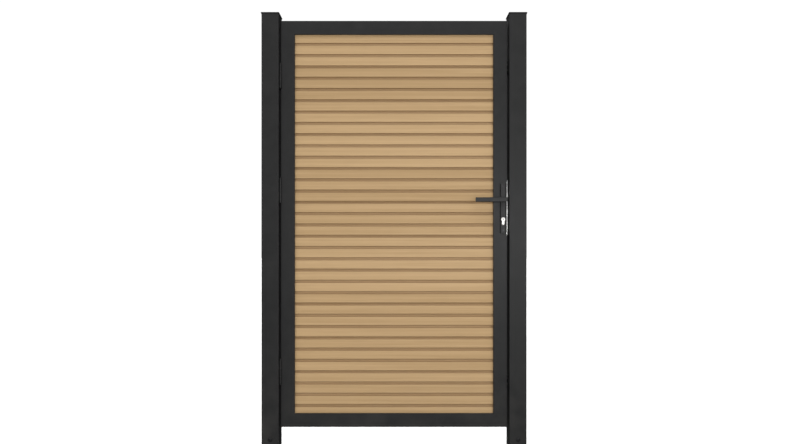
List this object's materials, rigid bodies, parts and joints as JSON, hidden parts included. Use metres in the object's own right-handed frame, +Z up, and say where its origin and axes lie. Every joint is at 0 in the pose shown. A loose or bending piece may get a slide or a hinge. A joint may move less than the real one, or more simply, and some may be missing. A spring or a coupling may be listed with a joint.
{
  "type": "garden gate",
  "caption": "Garden gate leaf with horizontal timber boards in a metal frame, hinged between two square posts, with a lever lock",
  "frame": {"origin": "on the ground, midway between the posts and at half their depth", "axes": "+Z up, -Y towards the front (the side the leaf opens to), +X from the hinge post towards the lock post"},
  "size_m": [1.252, 0.16, 1.957],
  "materials": {
    "post_coat": "satin anthracite powder coat",
    "frame_coat": "satin anthracite powder coat on aluminium",
    "hardware_coat": "satin anthracite powder coat on steel",
    "cap_plastic": "matt black moulded plastic",
    "foot_zinc": "hot-dip galvanised",
    "black_screw": "black zinc",
    "zinc": "bright zinc plated",
    "cleat_alloy": "mill finish",
    "rubber": "matt black rubber",
    "nylon": "black nylon",
    "stainless": "brushed stainless steel",
    "nickel": "satin nickel plate",
    "oak": "light oak with a clear matt oil"
  },
  "bodies": {
    "posts": {"hinge_post": "post_coat", "lock_post": "post_coat", "hinge_post_cap": "cap_plastic", "lock_post_cap": "cap_plastic", "hinge_post_foot": "foot_zinc", "lock_post_foot": "foot_zinc", "foot_screws": "black_screw", "top_hinge_post_plate": "hardware_coat", "middle_hinge_post_plate": "hardware_coat", "bottom_hinge_post_plate": "hardware_coat", "hinge_pins": "zinc", "hinge_post_screws": "zinc", "keep": "hardware_coat", "stop_brackets": "hardware_coat", "stop_buffers": "rubber", "lock_post_screws": "zinc"},
    "leaf": {"hinge_stile": "frame_coat", "lock_stile": "frame_coat", "top_rail": "frame_coat", "bottom_rail": "frame_coat", "corner_cleats": "cleat_alloy", "top_hinge_leaf_plate": "hardware_coat", "middle_hinge_leaf_plate": "hardware_coat", "bottom_hinge_leaf_plate": "hardware_coat", "hinge_leaf_screws": "zinc", "hinge_washers": "nylon", "lock_case": "zinc", "lock_case_cover": "zinc", "lock_forend": "stainless", "forend_screws": "zinc", "front_backplate": "hardware_coat", "rear_backplate": "hardware_coat", "backplate_screws": "black_screw", "cylinder_body": "nickel", "cylinder_screw": "zinc", "latch_spring": "stainless", "board_1": "oak", "board_2": "oak", "board_3": "oak", "board_4": "oak", "board_5": "oak", "board_6": "oak", "board_7": "oak", "board_8": "oak", "board_9": "oak", "board_10": "oak", "board_11": "oak", "board_12": "oak"},
    "handle": {"front_lever": "hardware_coat", "rear_lever": "hardware_coat", "spindle": "zinc", "follower": "zinc", "lever_grub_screws": "zinc"},
    "latch": {"latch_bolt": "nickel"},
    "dead_bolt": {"dead_bolt": "nickel"},
    "front_plug": {"front_plug": "nickel", "cylinder_cam": "zinc"},
    "rear_plug": {"rear_plug": "nickel"}
  },
  "joints": [
    {"name": "leaf_swing", "type": "hinge", "parent": "posts", "child": "leaf", "pos_m": [-0.503, -0.025, 1.173], "axis": [0, 0, -1], "range_deg": [0, 110]},
    {"name": "handle_turn", "type": "hinge", "parent": "leaf", "child": "handle", "pos_m": [0.482, 0, 1.13], "axis": [0, -1, 0], "range_deg": [0, 40], "stiffness_Nm_per_rad": 1.2, "springref_deg": -28.65},
    {"name": "latch_slide", "type": "slide", "parent": "leaf", "child": "latch", "axis": [-1, 0, 0], "range_m": [0, 0.0115], "stiffness_N_per_m": 300, "springref_m": -0.02, "deforming": ["latch_spring"]},
    {"name": "front_key_turn", "type": "hinge", "parent": "leaf", "child": "front_plug", "pos_m": [0.482, 0, 1.045], "axis": [0, -1, 0], "range_deg": [0, 360]},
    {"name": "rear_key_turn", "type": "hinge", "parent": "leaf", "child": "rear_plug", "pos_m": [0.482, 0, 1.045], "axis": [0, 1, 0], "range_deg": [0, 360]},
    {"name": "bolt_slide", "type": "slide", "parent": "leaf", "child": "dead_bolt", "axis": [-1, 0, 0], "range_m": [0, 0.02]}
  ],
  "couplings": [
    {"joint": "latch_slide", "follows": "handle_turn", "m_per_rad": 0.01647},
    {"joint": "front_key_turn", "follows": "bolt_slide", "rad_per_m": 314.16}
  ]
}
